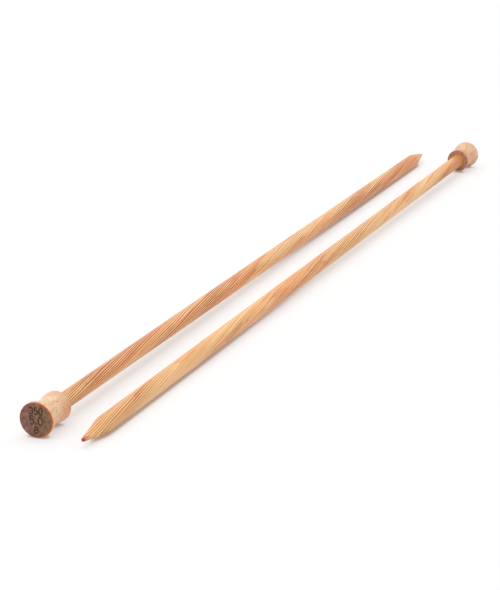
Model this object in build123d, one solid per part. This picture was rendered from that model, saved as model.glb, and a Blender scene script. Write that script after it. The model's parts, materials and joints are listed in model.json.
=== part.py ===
from build123d import *
import os
from math import atan2, cos, degrees, radians, sin

# Two straight wooden knitting needles that lie side by side, the point of one beside the knob of
# the other. Each is a slim round shaft, turned to a point at one end and to a tenon at the other,
# with a turned knob glued on the tenon.
# Millimetres and degrees. +X runs along the pair, +Z is up, Z = 0 is the surface they lie on, and
# the origin is the middle of the pair's footprint.

# Needle
needle_length = 350.0          # knob's end face to tip
gauge = 5.0                    # diameter of the shaft behind the point
full_gauge_run = 125.0         # length of the shaft that keeps this diameter
knob_end_diameter = 4.7        # what the shaft thins to where it enters the knob

# Point
point_length = 12.0            # from the shaft's full gauge to the tip
tip_diameter = 1.0             # blunt end of the point
tip_round = 0.3                # rounding of the blunt end's edge
point_shoulder_radius = 20.0   # soft shoulder between the shaft and the point

# Knob, from its end face to the shaft: a disc, a hollow waist and a flared collar with a flat end
disc_diameter = 10.0
disc_edge = 1.1                # length of the disc's straight edge
rim_round = 0.4                # rounding between the end face and that edge
waist_diameter = 7.7
waist_run = 5.4                # from the disc's edge to the waist's thinnest place
collar_diameter = 8.6
collar_run = 5.2               # from the waist to the collar's full width
collar_edge = 1.0              # length of the collar at that width
collar_bevel = 0.4             # bevel between it and the collar's flat end

# Glued joint
tenon_step = 0.4               # shoulder of the shaft round its tenon
tenon_length = 8.0
tenon_chamfer = 0.3
glue_gap = 0.05                # round the tenon
hole_end_gap = 0.5             # from the tenon's end to the bottom of its hole

# How the pair lies
pair_spacing = 17.6            # between the two axes, half-way along
pair_stagger = 2.7             # how far each point reaches past the other needle's knob
pair_splay = 0.85              # angle between the two needles, seen from above

# Worked-out sizes
shaft_radius = gauge / 2
knob_end_radius = knob_end_diameter / 2
tip_radius = tip_diameter / 2
disc_radius = disc_diameter / 2
tenon_radius = knob_end_radius - tenon_step
waist_place = disc_edge + waist_run
collar_place = waist_place + collar_run
knob_length = collar_place + collar_edge
tenon_start = knob_length - tenon_length
point_start = needle_length - point_length
taper_end = point_start - full_gauge_run

# A needle touches the surface at its disc and at the shoulder of its point.
rest_tilt = degrees(atan2(disc_radius - shaft_radius, point_start - disc_edge))


def corner(profile, x, radius):
    """The vertex of a profile that is nearest to this place along the needle and off its axis."""
    place = Vector(x, radius, 0)
    return min(profile.vertices(), key=lambda vertex: (Vector(*vertex) - place).length)


def make_shaft():
    """Tenon, shaft and point, as one piece turned about +X."""
    knob_end = (knob_length, knob_end_radius)
    full_gauge = (taper_end, shaft_radius)
    towards_full_gauge = (taper_end - knob_length, shaft_radius - knob_end_radius)

    tenon = Polyline((tenon_start, 0), (tenon_start, tenon_radius), (knob_length, tenon_radius), knob_end)
    taper = Spline(knob_end, full_gauge, tangents=(towards_full_gauge, (1, 0)))
    point = Polyline(full_gauge, (point_start, shaft_radius), (needle_length, tip_radius), (needle_length, 0))
    middle = Line((needle_length, 0), (tenon_start, 0))
    profile = make_face([*tenon.edges(), taper, *point.edges(), middle])
    profile = fillet(corner(profile, point_start, shaft_radius), point_shoulder_radius)
    profile = fillet(corner(profile, needle_length, tip_radius), min(tip_round, 0.8 * tip_radius))
    profile = chamfer(corner(profile, tenon_start, tenon_radius), tenon_chamfer)
    return revolve(profile, Axis.X).solid()


def make_knob():
    """Disc, waist and collar, turned about +X, with a blind hole for the tenon."""
    disc_back = (disc_edge, disc_radius)
    waist = (waist_place, waist_diameter / 2)
    collar = (collar_place, collar_diameter / 2)
    halfway = ((waist[0] + collar[0]) / 2, (waist[1] + collar[1]) / 2)
    hole_radius = tenon_radius + glue_gap
    hole_bottom = tenon_start - hole_end_gap

    end_face = Polyline((0, 0), (0, disc_radius), disc_back)
    hollow = TangentArc(waist, disc_back, tangent=(-1, 0))
    flare_foot = TangentArc(waist, halfway, tangent=(1, 0))
    flare_top = TangentArc(collar, halfway, tangent=(-1, 0))
    collar_end = Polyline(collar, (knob_length, collar[1]), (knob_length, hole_radius))
    hole = Polyline((knob_length, hole_radius), (hole_bottom, hole_radius), (hole_bottom, 0), (0, 0))
    curves = [hollow, flare_foot, flare_top]
    profile = make_face([*end_face.edges(), *curves, *collar_end.edges(), *hole.edges()])
    profile = fillet(corner(profile, 0, disc_radius), rim_round)
    profile = chamfer(corner(profile, knob_length, collar[1]), collar_bevel)
    return revolve(profile, Axis.X).solid()


def lay_down(piece, side):
    """Tilts a piece to where its needle rests, on the +Y side of the pair (1) or the -Y side (-1)."""
    heading = pair_splay / 2 if side > 0 else 180 - pair_splay / 2
    tilt = radians(rest_tilt)
    face_height = disc_radius * cos(tilt) + disc_edge * sin(tilt)
    resting = Location((0, 0, face_height), (0, rest_tilt, 0))
    centred = Location((-needle_length / 2, 0, 0))
    place = Location((side * pair_stagger / 2, side * pair_spacing / 2, 0), (0, 0, heading))
    return place * centred * resting * piece


shaft = make_shaft()
knob = make_knob()
pieces = {
    "shaft_a": lay_down(shaft, 1),
    "knob_a": lay_down(knob, 1),
    "shaft_b": lay_down(shaft, -1),
    "knob_b": lay_down(knob, -1),
}
footprint = Compound(list(pieces.values())).bounding_box()
centring = Location((-footprint.center().X, -footprint.center().Y, -footprint.min.Z))

os.makedirs("parts", exist_ok=True)
for name, piece in pieces.items():
    export_step(centring * piece, "parts/" + name + ".step")
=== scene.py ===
import json
import math

import bmesh
import bpy
from mathutils import Matrix, Vector


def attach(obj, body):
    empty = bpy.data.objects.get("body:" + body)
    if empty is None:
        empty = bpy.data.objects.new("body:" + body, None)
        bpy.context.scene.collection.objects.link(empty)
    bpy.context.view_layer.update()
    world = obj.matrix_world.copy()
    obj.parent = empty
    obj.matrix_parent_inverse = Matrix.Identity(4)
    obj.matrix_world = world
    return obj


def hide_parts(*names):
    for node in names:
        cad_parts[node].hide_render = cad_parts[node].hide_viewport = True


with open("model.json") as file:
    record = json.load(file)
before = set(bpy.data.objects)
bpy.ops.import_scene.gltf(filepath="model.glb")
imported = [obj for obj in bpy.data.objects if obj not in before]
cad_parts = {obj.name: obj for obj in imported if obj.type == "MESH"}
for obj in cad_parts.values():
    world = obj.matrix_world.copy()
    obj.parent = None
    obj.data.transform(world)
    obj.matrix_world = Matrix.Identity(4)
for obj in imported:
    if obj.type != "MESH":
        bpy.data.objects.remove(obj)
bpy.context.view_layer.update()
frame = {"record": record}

# Two straight wooden knitting needles, lying point to knob on a pale surface.
# The sizes of a needle are in millimetres, and x is measured along it from its knob's end face.
MM = 0.001

# ---------------------------------------------------------------- sizes
MOUNTS = {mount["name"]: mount for mount in frame["record"]["mounts"]}

# Shaft and point
SHAFT_RADIUS = MOUNTS["shaft_a_round"]["dims"]["r_mm"]
NEEDLE_LENGTH = 350.0
POINT_LENGTH = 12.0
FULL_GAUGE_RUN = 125.0                 # length of the shaft that keeps its full gauge
KNOB_END_RADIUS = 2.35                 # what the shaft thins to where it enters the knob
SHOULDER_RADIUS = 20.0                 # soft corner between the shaft and the point
SHOULDER_ROOM = 3.0                    # length of shaft before the point that its arc may use
TIP_RADIUS = 0.5
TIP_ROUND = 0.3

# Knob, from its end face to the shaft: a disc, a hollow waist and a flared collar with a flat end
DISC_RADIUS = 5.0
DISC_EDGE = 1.1                        # length of the disc's straight edge
RIM_ROUND = 0.4
WAIST_RADIUS = 3.85
WAIST_RUN = 5.4                        # from the disc's edge to the waist's thinnest place
COLLAR_RADIUS = 4.3
COLLAR_RUN = 5.2                       # from the waist to the collar's full width
COLLAR_EDGE = 1.0                      # length of the collar at that width
COLLAR_ROUND = 0.4

# Glued joint
TENON_STEP = 0.4                       # shoulder of the shaft round its tenon
TENON_LENGTH = 8.0
TENON_CHAMFER = 0.3
GLUE_GAP = 0.05                        # round the tenon
HOLE_END_GAP = 0.5                     # from the tenon's end to the bottom of its hole

# Worked-out places, as x and, where there are two numbers, radius
POINT_START = NEEDLE_LENGTH - POINT_LENGTH
TAPER_END = POINT_START - FULL_GAUGE_RUN
WAIST = (DISC_EDGE + WAIST_RUN, WAIST_RADIUS)
COLLAR = (WAIST[0] + COLLAR_RUN, COLLAR_RADIUS)
KNOB_LENGTH = COLLAR[0] + COLLAR_EDGE
TENON_START = KNOB_LENGTH - TENON_LENGTH
HOLE_BOTTOM = TENON_START - HOLE_END_GAP
TENON_RADIUS = KNOB_END_RADIUS - TENON_STEP
HOLE_RADIUS = TENON_RADIUS + GLUE_GAP

# How finely the outlines are divided, round the axis and along it
SHAFT_SIDES = 72
KNOB_SIDES = 128
SHAFT_STATIONS = 110
SHOULDER_STEPS = 12
TIP_STEPS = 6
POINT_RINGS = (0.25, 0.5, 0.75)        # shares of the cone's length
FACE_RINGS = (0.3, 0.6, 0.8)           # shares of the disc's radius
EDGE_STEPS = 8
HOLLOW_STEPS = 14
FLARE_STEPS = 5
SHARP_ANGLE = math.radians(32)         # edges that turn more than this stay crisp

# Plain numbers burnt into each end face: length, gauge in millimetres and gauge number.
# A row is its figures, the height of its middle over the axis and the height of a figure.
MARK_ROWS = (("350", 2.55, 1.8), ("5.0", -0.1, 2.3), ("8", -2.75, 1.8))
MARK_STROKE = 0.38
MARK_DEPTH = 0.13
MARK_GAP = 0.42                        # between two figures
CUTTER_OUTSIDE = 0.5                   # how far a cutter stands out of the end face
FLUSH = 0.001                          # what lies nearer to the end face than this is part of it


# ---------------------------------------------------------------- outlines
def arc_from_flat(flat, end, count):
    """Points of the arc that starts at `flat` parallel to the axis and stops at `end`."""
    run = end[0] - flat[0]
    rise = end[1] - flat[1]
    bend = (run * run + rise * rise) / (2 * abs(rise))
    sweep = math.atan2(abs(run), bend - abs(rise))
    points = []
    for step in range(count + 1):
        angle = sweep * step / count
        x = flat[0] + math.copysign(bend * math.sin(angle), run)
        radius = flat[1] + math.copysign(bend * (1 - math.cos(angle)), rise)
        points.append((x, radius))
    return points


def rounded_corner(before, corner, after, radius, count):
    """Points of the arc that rounds a corner between two straight lines."""
    corner = Vector(corner)
    to_before = (Vector(before) - corner).normalized()
    to_after = (Vector(after) - corner).normalized()
    half = to_before.angle(to_after) / 2
    centre = corner + (to_before + to_after).normalized() * radius / math.sin(half)
    first = corner + to_before * radius / math.tan(half) - centre
    last = corner + to_after * radius / math.tan(half) - centre
    sweep = math.pi - 2 * half
    points = []
    for step in range(count + 1):
        share = step / count
        offset = first * math.sin((1 - share) * sweep) + last * math.sin(share * sweep)
        points.append(tuple(centre + offset / math.sin(sweep)))
    return points


def shaft_radius_at(x):
    """Radius of the shaft between the knob and the point: its taper eases into the full gauge."""
    share = min((x - KNOB_LENGTH) / (TAPER_END - KNOB_LENGTH), 1.0)
    eased = share * (1 + share - share * share)
    return KNOB_END_RADIUS + (SHAFT_RADIUS - KNOB_END_RADIUS) * eased


def shaft_outline():
    """Tenon, shaft and point, from axis to axis."""
    shoulder = (POINT_START, SHAFT_RADIUS)
    tip_edge = (NEEDLE_LENGTH, TIP_RADIUS)
    straight_end = (POINT_START - SHOULDER_ROOM, SHAFT_RADIUS)
    points = [
        (TENON_START, 0.0),
        (TENON_START, TENON_RADIUS - TENON_CHAMFER),
        (TENON_START + TENON_CHAMFER, TENON_RADIUS),
        (KNOB_LENGTH, TENON_RADIUS),
    ]
    for station in range(SHAFT_STATIONS + 1):
        x = KNOB_LENGTH + (straight_end[0] - KNOB_LENGTH) * station / SHAFT_STATIONS
        points.append((x, shaft_radius_at(x)))
    points += rounded_corner(straight_end, shoulder, tip_edge, SHOULDER_RADIUS, SHOULDER_STEPS)
    cone_start = Vector(points[-1])
    cone_end = rounded_corner(shoulder, tip_edge, (NEEDLE_LENGTH, 0.0), TIP_ROUND, TIP_STEPS)
    points += [tuple(cone_start.lerp(Vector(cone_end[0]), share)) for share in POINT_RINGS]
    points += cone_end
    points.append((NEEDLE_LENGTH, 0.0))
    return points


def knob_outline():
    """End face, disc, waist and collar, then the blind hole for the tenon, from axis to axis."""
    face_edge = (0.0, DISC_RADIUS)
    disc_back = (DISC_EDGE, DISC_RADIUS)
    halfway = ((WAIST[0] + COLLAR[0]) / 2, (WAIST[1] + COLLAR[1]) / 2)
    collar_end = (KNOB_LENGTH, COLLAR_RADIUS)
    hole_edge = (KNOB_LENGTH, HOLE_RADIUS)
    points = [(0.0, 0.0)]
    points += [(0.0, DISC_RADIUS * share) for share in FACE_RINGS]
    points += rounded_corner((0.0, 0.0), face_edge, disc_back, RIM_ROUND, EDGE_STEPS)
    points += arc_from_flat(WAIST, disc_back, HOLLOW_STEPS)[::-1]
    points += arc_from_flat(WAIST, halfway, FLARE_STEPS)[1:]
    points += arc_from_flat(COLLAR, halfway, FLARE_STEPS)[::-1][1:]
    points += rounded_corner(COLLAR, collar_end, hole_edge, COLLAR_ROUND, EDGE_STEPS)
    points += [hole_edge, (HOLE_BOTTOM, HOLE_RADIUS), (HOLE_BOTTOM, 0.0)]
    return points


# ---------------------------------------------------------------- pieces
def finish_normals(bm):
    """Faces look outwards and shade smoothly, except over sharp edges."""
    bmesh.ops.recalc_face_normals(bm, faces=bm.faces)
    for face in bm.faces:
        face.smooth = True
    for edge in bm.edges:
        edge.smooth = len(edge.link_faces) != 2 or edge.calc_face_angle() < SHARP_ANGLE


def new_object(name, data):
    """Puts an object that holds this mesh, light or camera into the scene."""
    thing = bpy.data.objects.new(name, data)
    bpy.context.scene.collection.objects.link(thing)
    return thing


def new_piece(name, bm):
    """Turns a bmesh into a mesh object in the scene, and frees it."""
    mesh = bpy.data.meshes.new(name)
    bm.to_mesh(mesh)
    bm.free()
    return new_object(name, mesh)


def lathe(name, outline, sides):
    """A mesh turned about X from an outline that starts and ends on the axis."""
    bm = bmesh.new()
    angles = [2 * math.pi * side / sides for side in range(sides)]
    rings = []
    for x, radius in outline:
        around = angles if radius > 0.0 else angles[:1]
        ring = [(x * MM, radius * MM * math.cos(angle), radius * MM * math.sin(angle)) for angle in around]
        rings.append([bm.verts.new(spot) for spot in ring])
    for first, second in zip(rings, rings[1:]):
        for side in range(sides):
            beside = (side + 1) % sides
            corners = [
                first[side % len(first)],
                first[beside % len(first)],
                second[beside % len(second)],
                second[side % len(second)],
            ]
            bm.faces.new(list(dict.fromkeys(corners)))
    finish_normals(bm)
    return new_piece(name, bm)


def needle_place(letter):
    """The frame of a needle: +X from its knob's end face towards its tip, +Z up."""
    face = Vector(MOUNTS["knob_" + letter + "_face"]["pos_m"])
    along = Vector(MOUNTS["shaft_" + letter + "_round"]["axis"]).normalized()
    across = Vector((0, 0, 1)).cross(along).normalized()
    upward = along.cross(across)
    turn = Matrix((along, across, upward)).transposed()
    return Matrix.Translation(face) @ turn.to_4x4()


# ---------------------------------------------------------------- burnt numbers
def bow(centre, half_size, start, end, steps=20):
    """Points of an elliptical bow, between two angles in degrees anticlockwise from its right."""
    points = []
    for step in range(steps + 1):
        angle = math.radians(start + (end - start) * step / steps)
        x = centre[0] + half_size[0] * math.cos(angle)
        y = centre[1] + half_size[1] * math.sin(angle)
        points.append((x, y))
    return points


# The strokes of each figure, in a box one high around its middle, and the figure's width.
# Strokes may touch but none crosses itself, so that each can be cut by itself.
FIGURES = {
    "0": ([bow((0, 0), (0.28, 0.50), 0, 360)], 0.56),
    "3": ([bow((0, 0.25), (0.25, 0.25), 150, -80), bow((0, -0.24), (0.28, 0.26), 85, -150)], 0.54),
    "5": ([[(0.24, 0.50), (-0.19, 0.50), (-0.23, -0.08)], bow((0, -0.18), (0.27, 0.32), 150, -145)], 0.54),
    "8": ([bow((0, -0.25), (0.28, 0.25), 0, 360), bow((0, 0.27), (0.22, 0.23), -65, 245)], 0.56),
    ".": ([[(-0.09, -0.42), (0.09, -0.42)]], 0.18),
}


def row_strokes(figures, height, size):
    """The strokes of one row, right and up in millimetres, as seen by someone who faces the end face."""
    widths = [FIGURES[figure][1] * size for figure in figures]
    left = -(sum(widths) + MARK_GAP * (len(figures) - 1)) / 2
    strokes = []
    for figure, width in zip(figures, widths):
        middle = left + width / 2
        for stroke in FIGURES[figure][0]:
            strokes.append([(middle + x * size, height + y * size) for x, y in stroke])
        left += width + MARK_GAP
    return strokes


def stroke_cutter(points):
    """A bar as wide as MARK_STROKE along one stroke, mitred at its points, which reaches MARK_DEPTH
    into the end face."""
    points = [Vector(point) for point in points]
    closed = (points[0] - points[-1]).length < MARK_STROKE / 10
    if closed:
        points.pop()
    leaving = [(there - here).normalized() for here, there in zip(points, points[1:] + points[:1])]
    arriving = leaving[-1:] + leaving[:-1]
    if not closed:
        arriving[0] = leaving[0]
        leaving[-1] = arriving[-1]
    bm = bmesh.new()
    sections = []
    for point, before, after in zip(points, arriving, leaving):
        middle = (before + after).normalized()
        side = Vector((-middle.y, middle.x)) * (MARK_STROKE / 2 / middle.dot(before))
        corners = [
            (-CUTTER_OUTSIDE, point + side),
            (-CUTTER_OUTSIDE, point - side),
            (MARK_DEPTH, point - side),
            (MARK_DEPTH, point + side),
        ]
        sections.append([bm.verts.new((x * MM, -spot.x * MM, spot.y * MM)) for x, spot in corners])
    following = sections[1:] + sections[:1] if closed else sections[1:]
    for here, there in zip(sections, following):
        for corner in range(4):
            beside = (corner + 1) % 4
            bm.faces.new((here[corner], here[beside], there[beside], there[corner]))
    if not closed:
        bm.faces.new(sections[0])
        bm.faces.new(sections[-1])
    bmesh.ops.recalc_face_normals(bm, faces=bm.faces)
    return new_piece("stroke_cutter", bm)


def burn_marks(knob, burnt_slot):
    """Sinks the numbers into a knob's end face and gives their grooves the burnt slot."""
    cutters = [stroke_cutter(stroke) for row in MARK_ROWS for stroke in row_strokes(*row)]
    for cutter in cutters:
        cut = knob.modifiers.new("mark", "BOOLEAN")
        cut.object = cutter
        cut.solver = "EXACT"
    bpy.context.view_layer.update()
    mesh = bpy.data.meshes.new_from_object(knob.evaluated_get(bpy.context.evaluated_depsgraph_get()))
    knob.modifiers.clear()
    knob.data = mesh
    for cutter in cutters:
        bpy.data.objects.remove(cutter)
    bm = bmesh.new()
    bm.from_mesh(mesh)
    for face in bm.faces:
        middle = face.calc_center_median() / MM
        within_rim = math.hypot(middle.y, middle.z) < DISC_RADIUS - RIM_ROUND
        if within_rim and FLUSH < middle.x < MARK_DEPTH + FLUSH:
            face.material_index = burnt_slot
    finish_normals(bm)
    bm.to_mesh(mesh)
    bm.free()


# ---------------------------------------------------------------- nodes
def srgb(red, green, blue):
    """A colour given as 0-255 screen values, as the linear values that shaders take."""
    def linear(value):
        share = value / 255
        return share / 12.92 if share <= 0.04045 else ((share + 0.055) / 1.055) ** 2.4
    return (linear(red), linear(green), linear(blue), 1.0)


WHITE = srgb(255, 255, 255)

# A Mix node lists its sockets for numbers and for vectors before those for colours
MIX_FIRST = 6
MIX_SECOND = 7
MIX_RESULT = 2

SEED_APART = 101.0                     # keeps one seed's row of random numbers clear of the next one's

# Where a line sets in and is full, from the middle between two lines, as shares of their spacing
LINE_EDGE = (0.12, 0.48)


class Nodes:
    """A node tree under construction. Most methods add nodes and return an output socket."""

    def __init__(self, tree):
        self.tree = tree

    def node(self, kind, **settings):
        """A new node, with its settings made."""
        node = self.tree.nodes.new("ShaderNode" + kind)
        for key, value in settings.items():
            setattr(node, key, value)
        return node

    def feed(self, socket, value):
        """Links an output to this input, or sets the input's own value."""
        if isinstance(value, bpy.types.NodeSocket):
            self.tree.links.new(value, socket)
        else:
            socket.default_value = value

    def fed(self, kind, *values, **settings):
        """The first output of a new node whose inputs are fed in order."""
        node = self.node(kind, **settings)
        for socket, value in zip(node.inputs, values):
            self.feed(socket, value)
        return node.outputs[0]

    def maths(self, operation, *values):
        return self.fed("Math", *values, operation=operation)

    def vector(self, operation, *values):
        return self.fed("VectorMath", *values, operation=operation)

    def hypot(self, first, second):
        """Distance from an axis, from the two coordinates across it."""
        squares = [self.maths("MULTIPLY", value, value) for value in (first, second)]
        return self.maths("SQRT", self.maths("ADD", *squares))

    def layered(self, base, *layers):
        """The base with each (layer, strength) added to it."""
        for layer, strength in layers:
            base = self.maths("MULTIPLY_ADD", layer, strength, base)
        return base

    def stretch(self, value, low, high, new_low=0.0, new_high=1.0):
        """Maps low..high smoothly to new_low..new_high, and holds it there beyond them."""
        return self.fed("MapRange", value, low, high, new_low, new_high, interpolation_type="SMOOTHSTEP")

    def seen(self):
        """1 where the camera looks, straight or by a mirror or glass, and 0 for scattered light."""
        rays = self.node("LightPath").outputs
        seen = self.maths("MAXIMUM", rays["Is Camera Ray"], rays["Is Glossy Ray"])
        return self.maths("MAXIMUM", seen, rays["Is Transmission Ray"])


class Look(Nodes):
    """A material under construction."""

    def __init__(self, name):
        self.material = bpy.data.materials.new(name)
        self.material.use_nodes = True
        super().__init__(self.material.node_tree)
        self.shader = self.tree.nodes["Principled BSDF"]
        self.output = self.tree.nodes["Material Output"]

    def place(self):
        """The point in the piece's own frame, in metres."""
        return self.node("TexCoord").outputs["Object"]

    def place_mm(self):
        """The same point in millimetres."""
        return self.vector("MULTIPLY", self.place(), (1 / MM, 1 / MM, 1 / MM))

    def parts(self, vector):
        """The three coordinates of a vector."""
        node = self.node("SeparateXYZ")
        self.feed(node.inputs[0], vector)
        return node.outputs

    def turned(self, vector, angle):
        """The vector turned about X."""
        node = self.node("VectorRotate", rotation_type="X_AXIS")
        self.feed(node.inputs["Vector"], vector)
        self.feed(node.inputs["Angle"], angle)
        return node.outputs[0]

    def noise(self, vector, scale, detail, roughness=0.5):
        """Noise around 0.5, with its own scale along each axis."""
        node = self.node("TexNoise")
        self.feed(node.inputs["Vector"], self.vector("MULTIPLY", vector, scale))
        node.inputs["Scale"].default_value = 1.0
        node.inputs["Detail"].default_value = detail
        node.inputs["Roughness"].default_value = roughness
        return node.outputs[0]

    def drift(self, vector, scale, detail, roughness=0.5):
        """The same noise around 0."""
        return self.maths("SUBTRACT", self.noise(vector, scale, detail, roughness), 0.5)

    def chance(self, value, seed):
        """A random number from 0 to 1 for each whole value."""
        node = self.node("TexWhiteNoise", noise_dimensions="1D")
        self.feed(node.inputs["W"], self.maths("ADD", value, seed * SEED_APART))
        return node.outputs["Value"]

    def dark_lines(self, place, spacing):
        """1 on evenly spaced lines and 0 between them."""
        step = self.maths("FRACT", self.maths("DIVIDE", place, spacing))
        from_middle = self.maths("ABSOLUTE", self.maths("SUBTRACT", step, 0.5))
        return self.stretch(from_middle, *LINE_EDGE)

    def ramp(self, value, stops, colours):
        """The colour of a palette for a value, with each of its colours at a stop."""
        node = self.node("ValToRGB")
        elements = node.color_ramp.elements
        while len(elements) < len(stops):
            elements.new(0.5)
        for element, stop, colour in zip(elements, stops, colours):
            element.position = stop
            element.color = colour
        self.feed(node.inputs[0], value)
        return node.outputs[0]

    def mix(self, share, first, second):
        """The first colour where the share is 0, and the second where it is 1."""
        node = self.node("Mix", data_type="RGBA", clamp_factor=True)
        self.feed(node.inputs["Factor"], share)
        self.feed(node.inputs[MIX_FIRST], first)
        self.feed(node.inputs[MIX_SECOND], second)
        return node.outputs[MIX_RESULT]

    def tinted(self, base, colour, mask, strength=1.0):
        """The base turned towards a colour, by a strength, where the mask is 1."""
        return self.mix(self.maths("MULTIPLY", mask, strength), base, colour)

    def bump(self, height, depth_mm, strength):
        """Gives the surface a relief."""
        node = self.node("Bump")
        node.inputs["Strength"].default_value = strength
        node.inputs["Distance"].default_value = depth_mm * MM
        self.feed(node.inputs["Height"], height)
        self.feed(self.shader.inputs["Normal"], node.outputs[0])

    def surface(self, colour, roughness, coat=0.0, coat_roughness=0.3, specular=0.5):
        """Gives the surface its colour and gloss, and returns the finished material."""
        self.feed(self.shader.inputs["Base Color"], colour)
        self.feed(self.shader.inputs["Roughness"], roughness)
        self.shader.inputs["Coat Weight"].default_value = coat
        self.shader.inputs["Coat Roughness"].default_value = coat_roughness
        self.shader.inputs["Specular IOR Level"].default_value = specular
        return self.material


# ---------------------------------------------------------------- palettes
# A tone runs from 0, dark, to 1, light. A palette's colours stand at the tones that its stops give.
VENEER_STOPS = (0.0, 0.35, 0.65, 1.0)
HONEY = (srgb(156, 90, 44), srgb(210, 140, 78), srgb(242, 182, 117), srgb(255, 214, 160))
ORANGE = (srgb(146, 70, 34), srgb(202, 112, 58), srgb(234, 150, 88), srgb(252, 196, 136))
BEECH_STOPS = (0.0, 0.5, 1.0)
BEECH = (srgb(204, 144, 98), srgb(240, 191, 150), srgb(255, 226, 196))
MOTTLE_STOPS = (0.25, 0.5, 0.75)
SCORCHED_OLIVE = (srgb(92, 68, 44), srgb(134, 102, 72), srgb(172, 140, 104))
SCORCHED_PLUM = (srgb(96, 58, 46), srgb(140, 96, 80), srgb(176, 134, 114))
END_GRAIN = (srgb(150, 104, 80), srgb(186, 136, 110), srgb(210, 162, 134))
BURNT_STOPS = (0.3, 0.7)
BURNT = (srgb(68, 42, 27), srgb(104, 68, 46))

TIP_WARM = srgb(206, 104, 66)
TIP_DARK = srgb(172, 76, 56)
SHAFT_PAINTED_BOUNCE = srgb(214, 152, 74)        # painted golden light reflected from the collar onto the shaft where it leaves the knob
COLLAR_PAINTED_BOUNCE = srgb(210, 150, 82)       # painted golden light reflected between shaft and collar, on the collar round the shaft
BEECH_FLECK = srgb(184, 116, 76)
# painted warm shade on a knob's side towards the collar
BEECH_PAINTED_SHADE = srgb(222, 150, 94)
SCORCHED_PORE = srgb(78, 50, 36)
END_GRAIN_PORE = srgb(118, 76, 56)
RIM_ORANGE = srgb(204, 94, 52)
RIM_RED = srgb(166, 84, 66)

# ---------------------------------------------------------------- woods
# The laminated blank, in millimetres
TWIST_LENGTH = 145.0                   # one turn of its left-handed twist
PLY = 0.58                             # thickness of one veneer
PLY_WANDER = 0.7                       # how far the veneers wander from flat
RING = 0.58                            # spacing of the growth rings
RING_WANDER = 1.0                      # how far they wander
LINE_SHARE = 0.34                      # share of their depth by which lines darken the wood on average

# Steps from one seed's stretch of wood to the next, so that no two pieces share a figure
BLANK_APART = (37.0, 0.0, 0.0)
BEECH_APART = (53.0, 11.0, 7.0)

# Distances from the axis, across the veneers, over which they come to lie flat on the surface
FLAT_ON = (0.70 * SHAFT_RADIUS, 0.92 * SHAFT_RADIUS)

# Stretches of x over which a shaft's colour changes
SHADED_END = (KNOB_LENGTH, KNOB_LENGTH + 130.0)
# over this stretch the painted reflected light from the collar fades out along the shaft
PAINTED_BOUNCE_END = (KNOB_LENGTH + 1.2, KNOB_LENGTH + 3.4)
WARM_TIP = (NEEDLE_LENGTH - 2.2, NEEDLE_LENGTH - 0.9)
DARK_TIP = (NEEDLE_LENGTH - 0.55, NEEDLE_LENGTH - 0.30)

# Stretches of x over which a knob's colour and gloss change
FACE_TO_SIDE = (0.08, 0.32)
SIDE_TO_COLLAR_FACE = (KNOB_LENGTH - 0.30, KNOB_LENGTH - 0.05)
DULL_TO_GLOSSY = (0.1, 0.5)
FACE_ROUGHNESS = 0.62
SIDE_ROUGHNESS = 0.45

# Stretches of radius, of z - y and of y over which the colour of a knob's flat ends changes
FACE_TO_RIM = (DISC_RADIUS - 0.55, DISC_RADIUS - 0.30)
# over this stretch of radius the painted reflected light round the shaft fades out
PAINTED_BOUNCE_RING = (HOLE_RADIUS + 0.85, HOLE_RADIUS + 1.25)
RIM_HEAT = (-5.5, -0.5)
RIM_ORANGE_TO_RED = (-2.5, 4.0)


def place_in_wood(look, here, seed, apart):
    """The point in the wood that the piece with this seed is cut from."""
    return look.vector("ADD", here, [seed * step for step in apart])


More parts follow.
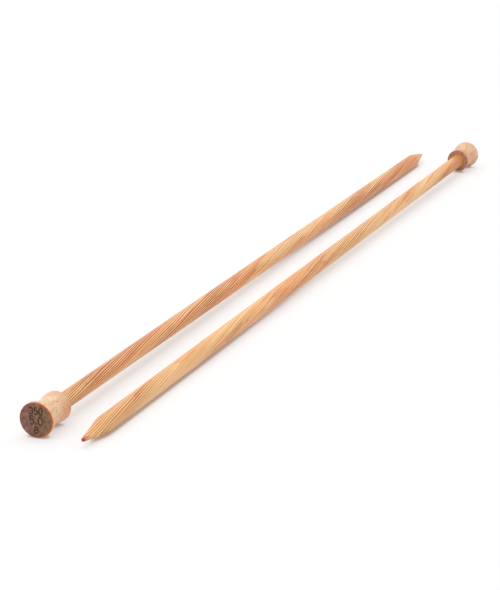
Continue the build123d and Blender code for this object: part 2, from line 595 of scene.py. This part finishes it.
# Below, scales of noise are cycles per millimetre along x, y and z of the wood, with the grain along x.
# A stretch of noise between two of its levels picks out spots or patches.
def laminated_wood(name, seed, phase, lightness, line_depth, orange_from, knob_end_shade):
    """Twisted laminated hardwood: fine veneer edges where the plies meet the surface edge-on, and broad
    tongues of honey and orange where they lie flat."""
    look = Look(name)
    here = look.place_mm()
    x, _, _ = look.parts(here)
    twist = look.maths("MULTIPLY_ADD", x, 2 * math.pi / TWIST_LENGTH, phase)
    blank = place_in_wood(look, look.turned(here, twist), seed, BLANK_APART)
    along, across, deep = look.parts(blank)

    # Lines of glue between the veneers, and growth rings where one veneer lies flat
    wander = look.drift(blank, (0.03, 0.30, 0.30), detail=2)
    ply_place = look.layered(across, (wander, PLY_WANDER))
    ring_place = look.layered(deep, (wander, RING_WANDER))
    flat_on = look.stretch(look.maths("ABSOLUTE", across), *FLAT_ON)
    edge_on = look.maths("SUBTRACT", 1.0, flat_on)
    glue = look.maths("MULTIPLY", look.dark_lines(ply_place, PLY), edge_on)
    rings = look.maths("MULTIPLY", look.dark_lines(ring_place, RING), flat_on)
    lines = look.maths("ADD", glue, rings)
    line_fade = look.stretch(look.noise(blank, (0.012, 0.12, 0.12), detail=1), 0.36, 0.60, 0.45, 1.0)

    # The figure of the wood, which follows the veneers
    ply_point = look.fed("CombineXYZ", along, ply_place, deep)
    ply_number = look.maths("FLOOR", look.maths("DIVIDE", ply_place, PLY))
    ply_shade = look.maths("SUBTRACT", look.chance(ply_number, seed), 0.5)
    uneven = look.drift(ply_point, (0.012, 1.3, 0.12), detail=2, roughness=0.6)
    fibre = look.drift(ply_point, (0.12, 5.5, 5.5), detail=3, roughness=0.6)
    pores = look.stretch(look.noise(ply_point, (0.45, 6.5, 6.5), detail=1), 0.60, 0.72)
    patch = look.drift(blank, (0.025, 0.25, 0.25), detail=2)

    # Where the flame is above 0 the wood is orange, and a dark seam parts it from the honey
    flames = look.noise(ply_point, (0.016, 0.40, 0.30), detail=3, roughness=0.55)
    flame = look.maths("SUBTRACT", flames, orange_from)
    seam = look.stretch(look.maths("ABSOLUTE", flame), 0.0, 0.025, 1.0, 0.0)

    tone = look.layered(
        lightness + LINE_SHARE * line_depth,
        (look.maths("MULTIPLY", lines, line_fade), -line_depth),
        (look.stretch(x, *SHADED_END, knob_end_shade, 0.0), -1.0),
        (ply_shade, 0.16),
        (uneven, 0.70),
        (seam, -0.20),
        (fibre, 0.45),
        (patch, 0.75),
        (pores, -0.12),
    )
    honey = look.ramp(tone, VENEER_STOPS, HONEY)
    orange = look.ramp(tone, VENEER_STOPS, ORANGE)
    wood = look.mix(look.stretch(flame, -0.06, 0.07), honey, orange)

    # A reddened tip with a dark cut end, and a ring of painted golden reflected light at the knob
    ragged_x = look.layered(x, (fibre, 0.6))
    wood = look.tinted(wood, TIP_WARM, look.stretch(ragged_x, *WARM_TIP), 0.6)
    wood = look.tinted(wood, TIP_DARK, look.stretch(ragged_x, *DARK_TIP))
    wood = look.tinted(wood, SHAFT_PAINTED_BOUNCE, look.stretch(x, *PAINTED_BOUNCE_END, 1.0, 0.0), 0.7)

    relief = look.layered(look.maths("MULTIPLY", fibre, 1.4), (lines, -0.5), (pores, -0.6))
    look.bump(relief, depth_mm=0.02, strength=0.5)
    roughness = look.layered(0.42, (fibre, 0.25))
    return look.surface(wood, roughness, coat=0.06, coat_roughness=0.32, specular=0.35)


def knob_wood(name, seed, lightness):
    """Turned beech with short dark flecks along the grain, a scorched end face with a reddish rim, and
    dark end grain where the shaft leaves it."""
    look = Look(name)
    here = look.place_mm()
    x, y, z = look.parts(here)
    radius = look.hypot(y, z)
    grain = place_in_wood(look, here, seed, BEECH_APART)
    mottle = look.noise(grain, (1.0, 0.9, 0.9), detail=4, roughness=0.65)
    pores = look.stretch(look.noise(grain, (1.0, 5.5, 5.5), detail=2), 0.54, 0.70)

    # The turned side, with painted warm shade that grows towards the collar
    streak = look.drift(grain, (0.10, 1.3, 1.3), detail=3, roughness=0.6)
    cloud = look.drift(grain, (0.12, 0.3, 0.3), detail=2)
    flecks = look.stretch(look.noise(grain, (0.65, 5.2, 5.2), detail=2), 0.55, 0.68)
    near_collar_shade = look.stretch(look.layered(x, (streak, 6.0)), WAIST[0], KNOB_LENGTH)
    side = look.ramp(look.layered(lightness, (streak, 1.3), (cloud, 0.8)), BEECH_STOPS, BEECH)
    side = look.tinted(side, BEECH_FLECK, flecks, 0.8)
    side = look.tinted(side, BEECH_PAINTED_SHADE, near_collar_shade, 0.52)

    # The scorched end face. Its rim is reddish, except low down on the side towards the piece's own +Y.
    hue = look.layered(look.noise(grain, (1.0, 0.35, 0.35), detail=2), (y, 0.05))
    olive = look.ramp(mottle, MOTTLE_STOPS, SCORCHED_OLIVE)
    plum = look.ramp(mottle, MOTTLE_STOPS, SCORCHED_PLUM)
    scorched = look.mix(look.stretch(hue, 0.38, 0.62), olive, plum)
    scorched = look.tinted(scorched, SCORCHED_PORE, pores, 0.6)
    ragged_radius = look.layered(radius, (look.maths("SUBTRACT", mottle, 0.5), 0.5))
    on_rim = look.stretch(ragged_radius, *FACE_TO_RIM)
    rim_heat = look.stretch(look.maths("ADD", look.maths("SUBTRACT", z, y), mottle), *RIM_HEAT)
    rim = look.mix(look.stretch(y, *RIM_ORANGE_TO_RED), RIM_ORANGE, RIM_RED)
    end_face = look.tinted(scorched, rim, on_rim, rim_heat)

    # End grain on the collar's flat end, with a ring of painted golden reflected light round the shaft
    end_grain = look.ramp(mottle, MOTTLE_STOPS, END_GRAIN)
    end_grain = look.tinted(end_grain, END_GRAIN_PORE, pores, 0.5)
    painted_bounce_mask = look.stretch(look.layered(radius, (mottle, 0.5)), *PAINTED_BOUNCE_RING, 0.85, 0.0)
    end_grain = look.mix(painted_bounce_mask, end_grain, COLLAR_PAINTED_BOUNCE)

    wood = look.mix(look.stretch(x, *FACE_TO_SIDE), end_face, side)
    wood = look.mix(look.stretch(x, *SIDE_TO_COLLAR_FACE), wood, end_grain)

    look.bump(look.layered(streak, (flecks, -0.8)), depth_mm=0.02, strength=0.6)
    roughness = look.stretch(x, *DULL_TO_GLOSSY, FACE_ROUGHNESS, SIDE_ROUGHNESS)
    return look.surface(wood, roughness, coat=0.05, coat_roughness=0.35, specular=0.35)


def burnt_wood(name):
    """The dark grooves of the burnt numbers."""
    look = Look(name)
    grit = look.noise(look.place_mm(), (4.0, 4.0, 4.0), detail=4, roughness=0.6)
    look.bump(grit, depth_mm=0.03, strength=0.6)
    return look.surface(look.ramp(grit, BURNT_STOPS, BURNT), roughness=0.75)


# ---------------------------------------------------------------- the pair
# Phase is the twist's angle at x = 0, in radians. Lightness is the tone of the wood on average, and
# line_depth is how much darker its lines are. Where the flames' noise is above orange_from the wood
# is orange. The shaft is darker by knob_end_shade where it leaves the knob.
SHAFT_LOOKS = {
    "a": dict(seed=1.0, phase=0.3, lightness=0.645, line_depth=1.0, orange_from=0.48, knob_end_shade=0.0),
    "b": dict(seed=4.0, phase=1.4, lightness=0.71, line_depth=0.62, orange_from=0.55, knob_end_shade=0.22),
}
KNOB_LOOKS = {
    "a": dict(seed=1.0, lightness=0.68),
    "b": dict(seed=2.0, lightness=0.46),
}
BURNT_SLOT = 1                         # a knob's second material

burnt = burnt_wood("burnt_mark")

for letter in ("a", "b"):
    body = "needle_" + letter
    place = needle_place(letter)

    shaft = lathe("shaft_" + letter + "_wood", shaft_outline(), SHAFT_SIDES)
    shaft.data.materials.append(laminated_wood("laminated_wood_" + letter, **SHAFT_LOOKS[letter]))
    shaft.matrix_world = place
    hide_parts("shaft_" + letter)
    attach(shaft, body)

    knob = lathe("knob_" + letter + "_wood", knob_outline(), KNOB_SIDES)
    knob.data.materials.append(knob_wood("knob_wood_" + letter, **KNOB_LOOKS[letter]))
    knob.data.materials.append(burnt)
    burn_marks(knob, BURNT_SLOT)
    knob.matrix_world = place
    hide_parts("knob_" + letter)
    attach(knob, body)


# ---------------------------------------------------------------- stage
# In metres, apart from the reach of a contact line
FLOOR_HALF = 3.0
FLOOR_FADE = (0.35, 0.80)              # distances from the middle over which it turns plain white
FLOOR_WHITE = 0.985                    # what an unshaded floor shows
FLOOR_SHADED = 0.50                    # the part of that which depends on light and shadow
FLOOR_BOUNCE = 0.85                    # reflectance that lights the needles from below
CONTACT_REACH = 1.5                    # millimetres of floor over which a painted contact shadow reaches where wood touches it
CONTACT_SHADE = (0.3, 0.85)            # openness of the corner, from the full painted shadow to none
CONTACT_SAMPLES = 24
# warm brown of the painted contact shadow
CONTACT_SHADOW_COLOUR = (0.64, 0.49, 0.42, 1.0)
AMBIENT = 0.69                         # strength of the sky as light, while the camera sees it white


def white_floor():
    """A pale matt floor that shows as white where nothing shades it, and takes a thin warm line of
    painted shadow where a piece touches it."""
    look = Look("floor")
    # Painted contact shadow: the floor's colour turns warm brown in the corner where a piece touches it
    corner = look.node("AmbientOcclusion", samples=CONTACT_SAMPLES)
    corner.inputs["Distance"].default_value = CONTACT_REACH * MM
    painted_contact_shadow = look.stretch(corner.outputs["AO"], *CONTACT_SHADE, 1.0, 0.0)
    tint = look.mix(painted_contact_shadow, WHITE, CONTACT_SHADOW_COLOUR)
    shaded_tint = look.vector("MULTIPLY", tint, (FLOOR_SHADED, FLOOR_SHADED, FLOOR_SHADED))
    shaded = look.fed("BsdfDiffuse", shaded_tint)
    glow = look.fed("Emission", tint, FLOOR_WHITE - FLOOR_SHADED)
    near = look.fed("AddShader", shaded, glow)

    x, y, _ = look.parts(look.place())
    backdrop = look.fed("Emission", WHITE)
    shown = look.fed("MixShader", look.stretch(look.hypot(x, y), *FLOOR_FADE), near, backdrop)
    bounce = look.fed("BsdfDiffuse", (FLOOR_BOUNCE, FLOOR_BOUNCE, FLOOR_BOUNCE, 1.0))
    look.feed(look.output.inputs["Surface"], look.fed("MixShader", look.seen(), bounce, shown))
    return look.material


def white_sky():
    """An even sky that the camera sees as white."""
    world = bpy.data.worlds.new("studio")
    world.use_nodes = True
    nodes = Nodes(world.node_tree)
    background = world.node_tree.nodes["Background"]
    nodes.feed(background.inputs["Color"], WHITE)
    nodes.feed(background.inputs["Strength"], nodes.stretch(nodes.seen(), 0.0, 1.0, AMBIENT, 1.0))
    return world


def soft_lamp(name, heading, elevation, distance, size, watts):
    """A square area lamp that faces the pair's middle from a heading (0 is +X) and a height angle."""
    light = bpy.data.lights.new(name, "AREA")
    light.shape = "SQUARE"
    light.size = size
    light.energy = watts
    lamp = new_object(name, light)
    around = math.radians(heading)
    up = math.radians(elevation)
    direction = Vector((math.cos(up) * math.cos(around), math.cos(up) * math.sin(around), math.sin(up)))
    lamp.location = direction * distance
    lamp.rotation_euler = direction.to_track_quat("Z", "Y").to_euler()


floor_mesh = bpy.data.meshes.new("floor")
corners = [(FLOOR_HALF * x, FLOOR_HALF * y, 0.0) for x, y in ((-1, -1), (1, -1), (1, 1), (-1, 1))]
floor_mesh.from_pydata(corners, [], [(0, 1, 2, 3)])
floor_mesh.materials.append(white_floor())
floor = new_object("floor", floor_mesh)

bpy.context.scene.world = white_sky()
soft_lamp("top_softbox", heading=85, elevation=77, distance=1.5, size=1.8, watts=12.5)

# ---------------------------------------------------------------- camera
# Solved from the outlines of both needles in the photograph
CAMERA_PLACE = (-0.63826, -0.23788, 0.19653)           # metres
LOOKS_DOWN = 16.700                    # degrees below level
LOOKS_TOWARDS = 21.781                 # degrees anticlockwise from +X
SENSOR = 36.0                          # millimetres along the picture's longer side
LENS = 128.135593                      # focal length in millimetres

camera_data = bpy.data.cameras.new("camera")
camera_data.sensor_width = SENSOR
camera_data.lens = LENS
camera_data.clip_start = 0.01
camera = new_object("camera", camera_data)
camera.location = CAMERA_PLACE
camera.rotation_euler = (math.radians(90 - LOOKS_DOWN), 0, math.radians(LOOKS_TOWARDS - 90))
bpy.context.scene.camera = camera

bpy.context.scene.view_settings.view_transform = "Standard"
